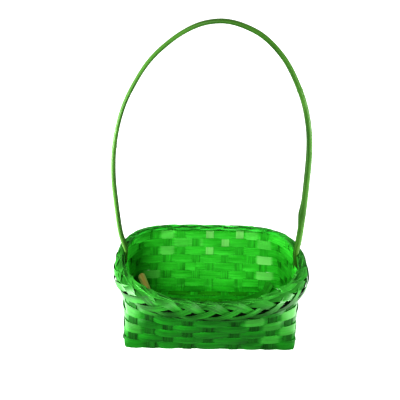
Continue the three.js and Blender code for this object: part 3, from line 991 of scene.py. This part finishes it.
hoop = bmesh.new()
hoop_grain = hoop.loops.layers.uv.new("grain")
hoop_lit_side = hoop.verts.layers.float.new("tint_and_painted_light")
steps = len(hoop_line) - 1
bmesh.ops.create_grid(hoop, x_segments=steps, y_segments=ring_points, size=0.5)
for face in hoop.faces:
    for loop in face.loops:
        x, y = loop.vert.co.x, loop.vert.co.y
        loop[hoop_grain].uv = ((x + 0.5) * steps * hoop_step, y * hoop_girth * handle_width)
for vert in hoop.verts:
    i = round((vert.co.x + 0.5) * steps)
    middle = hoop_line[i]
    heading = (hoop_line[min(i + 1, steps)] - hoop_line[max(i - 1, 0)]).normalized()
    out = Vector((-heading.z, 0, heading.x)).normalized()
    width, thickness = handle_section(middle.z)
    thickness *= 1 + right_leg_fuller * smooth_share(middle.x, *right_leg_reach)
    for node_z in node_heights[1 if middle.x > 0 else -1]:
        swell = bow(middle.z - node_z, node_reach)
        width += node_width * swell
        thickness += node_swell * swell
    turn = math.tau * vert.co.y
    knot = bow(middle.z - knot_height, knot_reach) if middle.x > 0 else 0
    # Painted light and shade: the rounded outer side goes over to a lighter green as if lit from above,
    # the flat inner side stays dark, and the knot keeps less of the lighter green.
    vert[hoop_lit_side] = smooth_share(math.cos(turn), *lit_side_edge) * (1 - knot_shade * knot)
    round_part = max(math.cos(turn), 0) ** round_power
    flat_part = -max(-math.cos(turn), 0) ** flat_power
    sideways = math.copysign(abs(math.sin(turn)) ** side_power, math.sin(turn))
    height = round_part * round_share * thickness
    height += flat_part * (flat_share * thickness + knot_swell * knot)
    rough = noise.noise(Vector((middle.x * 60, middle.z * 60, turn))) * slat_roughness
    raised = out * (height - hoop_seat * thickness + rough)
    vert.co = middle + raised + Vector((0, -sideways * width / 2, 0))
bmesh.ops.remove_doubles(hoop, verts=hoop.verts, dist=seam_distance)
ends = [edge for edge in hoop.edges if edge.is_boundary]
bmesh.ops.holes_fill(hoop, edges=ends, sides=ring_points)
bmesh.ops.recalc_face_normals(hoop, faces=hoop.faces)
hoop_mesh = bpy.data.meshes.new("handle_slat")
hoop.to_mesh(hoop_mesh)
hoop.free()
hoop_mesh.shade_smooth()
handle = bpy.data.objects.new("handle_slat", hoop_mesh)
bpy.context.scene.collection.objects.link(handle)
# The lighter green is the painted light on the rounded side of the hoop.
handle_green = dyed_bamboo(
    "handle_green", (0.007, 0.038, 0.003), (0.036, 0.105, 0.012),
    roughness=0.45, gloss=0.2, tint_and_light_colour=(0.050, 0.14, 0.018),
)
handle.data.materials.append(handle_green)
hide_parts("handle_hoop")
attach(handle, "root")


# Brace slats: two thicker slats that cross on the floor from corner to corner, with ends
# bent up and whittled round. One is dyed and steps over the other, left natural.
slat_width = 9.5 * mm
slat_thickness = 1.4 * mm
slat_bend_radius = 8 * mm
slat_bend_angle = 1.22
slat_round = 4.6 * mm
slat_corner = Vector((0.89 * base_half[0], 0.887 * base_half[1], 0))
slat_level = floor_level + weave_gap + strip_thickness + slat_thickness / 2 + 0.5 * mm
slat_step = slat_thickness + 0.35 * mm
slat_flare = 0.22
slat_edge = 0.3 * mm
bend_twist = 0.4
drift_end = (-10 * mm, 60 * mm)
arc_steps = 10
round_steps = 8
flat_steps = 80


def slat_end(reach, rise, bend, twist):
    """Distance, height, angle, share of the width and twist, up to the rounded end."""
    bend_run = slat_bend_radius * math.sin(bend)
    start = reach - bend_run - rise * math.cos(bend)
    stations = []
    for i in range(arc_steps + 1):
        angle = bend * i / arc_steps
        height = slat_bend_radius * (1 - math.cos(angle))
        distance = start + slat_bend_radius * math.sin(angle)
        stations.append((distance, height, angle, 1, twist * bend_twist * i / arc_steps))
    top = stations[-1][1]
    for i in range(round_steps + 1):
        share = math.sin(math.pi / 2 * i / round_steps)
        length = rise + slat_round * share
        distance = start + bend_run + length * math.cos(bend)
        width_share = max(1 - share**2.6, 0.0025) ** 0.5
        turned = twist * (bend_twist + (1 - bend_twist) * length / (rise + slat_round))
        stations.append((distance, top + length * math.sin(bend), bend, width_share, turned))
    return stations


def slat_stations(slope, left, right, steps_over, drift=0.0):
    """A slat over the floor from one corner to the other, with its two ends bent up."""
    heading = Vector((slat_corner.x, slope * slat_corner.y, 0)).normalized()
    across = Vector((-heading.y, heading.x, 0))
    step_run = slat_width / math.sin(2 * math.atan2(slat_corner.y, slat_corner.x))
    line = []
    for distance, height, angle, width, twist in reversed(left):
        line.append((-distance, height, -angle, width, twist))
    start, end = line[-1][0], right[0][0]
    for k in range(1, flat_steps):
        distance = start + (end - start) * k / flat_steps
        past = (2 * step_run - abs(distance)) / step_run
        line.append((distance, slat_step * eased(0, 1, past) if steps_over else 0, 0, 1, 0))
    stations = []
    for distance, height, angle, width_share, twist in line + right:
        drifted = drift * smooth_share(distance, line[0][0], start)
        drifted *= 1 - smooth_share(distance, *drift_end)
        place = heading * distance + across * drifted + Vector((0, 0, slat_level + height))
        up = Vector((0, 0, math.cos(angle))) - heading * math.sin(angle)
        way = (across * math.cos(twist) + up * math.sin(twist)).normalized()
        face = (up * math.cos(twist) - across * math.sin(twist)).normalized()
        width = slat_width * (1 + slat_flare * abs(angle) / slat_bend_angle)
        stations.append((place, way, face, width * width_share))
    return stations


def natural_bamboo(name):
    """Natural bamboo, tan in the middle and still pale green along its edges."""
    material = dyed_bamboo(name, (0.75, 0.44, 0.12), (0.95, 0.74, 0.28), roughness=0.5, gloss=0.2)
    tree = material.node_tree
    shader = tree.nodes["Principled BSDF"]
    tan = shader.inputs["Base Color"].links[0].from_socket
    grain = tree.nodes["UV Map"]
    across = tree.nodes.new("ShaderNodeSeparateXYZ")
    tree.links.new(grain.outputs["UV"], across.inputs["Vector"])
    from_middle = tree.nodes.new("ShaderNodeMath")
    from_middle.operation = "ABSOLUTE"
    tree.links.new(across.outputs["Y"], from_middle.inputs[0])
    rim = tree.nodes.new("ShaderNodeMapRange")
    rim.inputs["From Min"].default_value = 2.0 * mm
    rim.inputs["From Max"].default_value = 4.2 * mm
    tree.links.new(from_middle.outputs["Value"], rim.inputs["Value"])
    edged = tree.nodes.new("ShaderNodeMix")
    edged.data_type = "RGBA"
    edged.inputs[7].default_value = (0.55, 0.62, 0.20, 1)
    tree.links.new(rim.outputs["Result"], edged.inputs["Factor"])
    tree.links.new(tan, edged.inputs[6])
    tree.links.new(edged.outputs[2], shader.inputs["Base Color"])
    return material


slat_green = dyed_bamboo(
    "slat_green", (0.012, 0.16, 0.008), (0.035, 0.34, 0.022), roughness=0.45
)
natural_tan = natural_bamboo("natural_tan")
slat_reach = slat_corner.length
natural_left = slat_end(0.985 * slat_reach, rise=20 * mm, bend=0.85, twist=0.3)
natural_right = slat_end(0.958 * slat_reach, rise=5 * mm, bend=slat_bend_angle, twist=0)
dyed_left = slat_end(0.958 * slat_reach, rise=2.5 * mm, bend=slat_bend_angle, twist=0)
dyed_right = slat_end(0.9 * slat_reach, rise=6.5 * mm, bend=1.1, twist=0.45)
natural_line = slat_stations(-1, natural_left, natural_right, steps_over=False, drift=-7 * mm)
dyed_line = slat_stations(1, dyed_left, dyed_right, steps_over=True)
for name, line, paint, part, place in (
    ("natural_slat", natural_line, natural_tan, "brace_slat_natural", "natural_bamboo"),
    ("dyed_slat", dyed_line, slat_green, "brace_slat_dyed", "floor_strip"),
):
    slat = lay_strips(name, [line], [paint, paint], slat_thickness, camber=0, lanes=6, edge=slat_edge)
    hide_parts(part)
    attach(slat, "root")
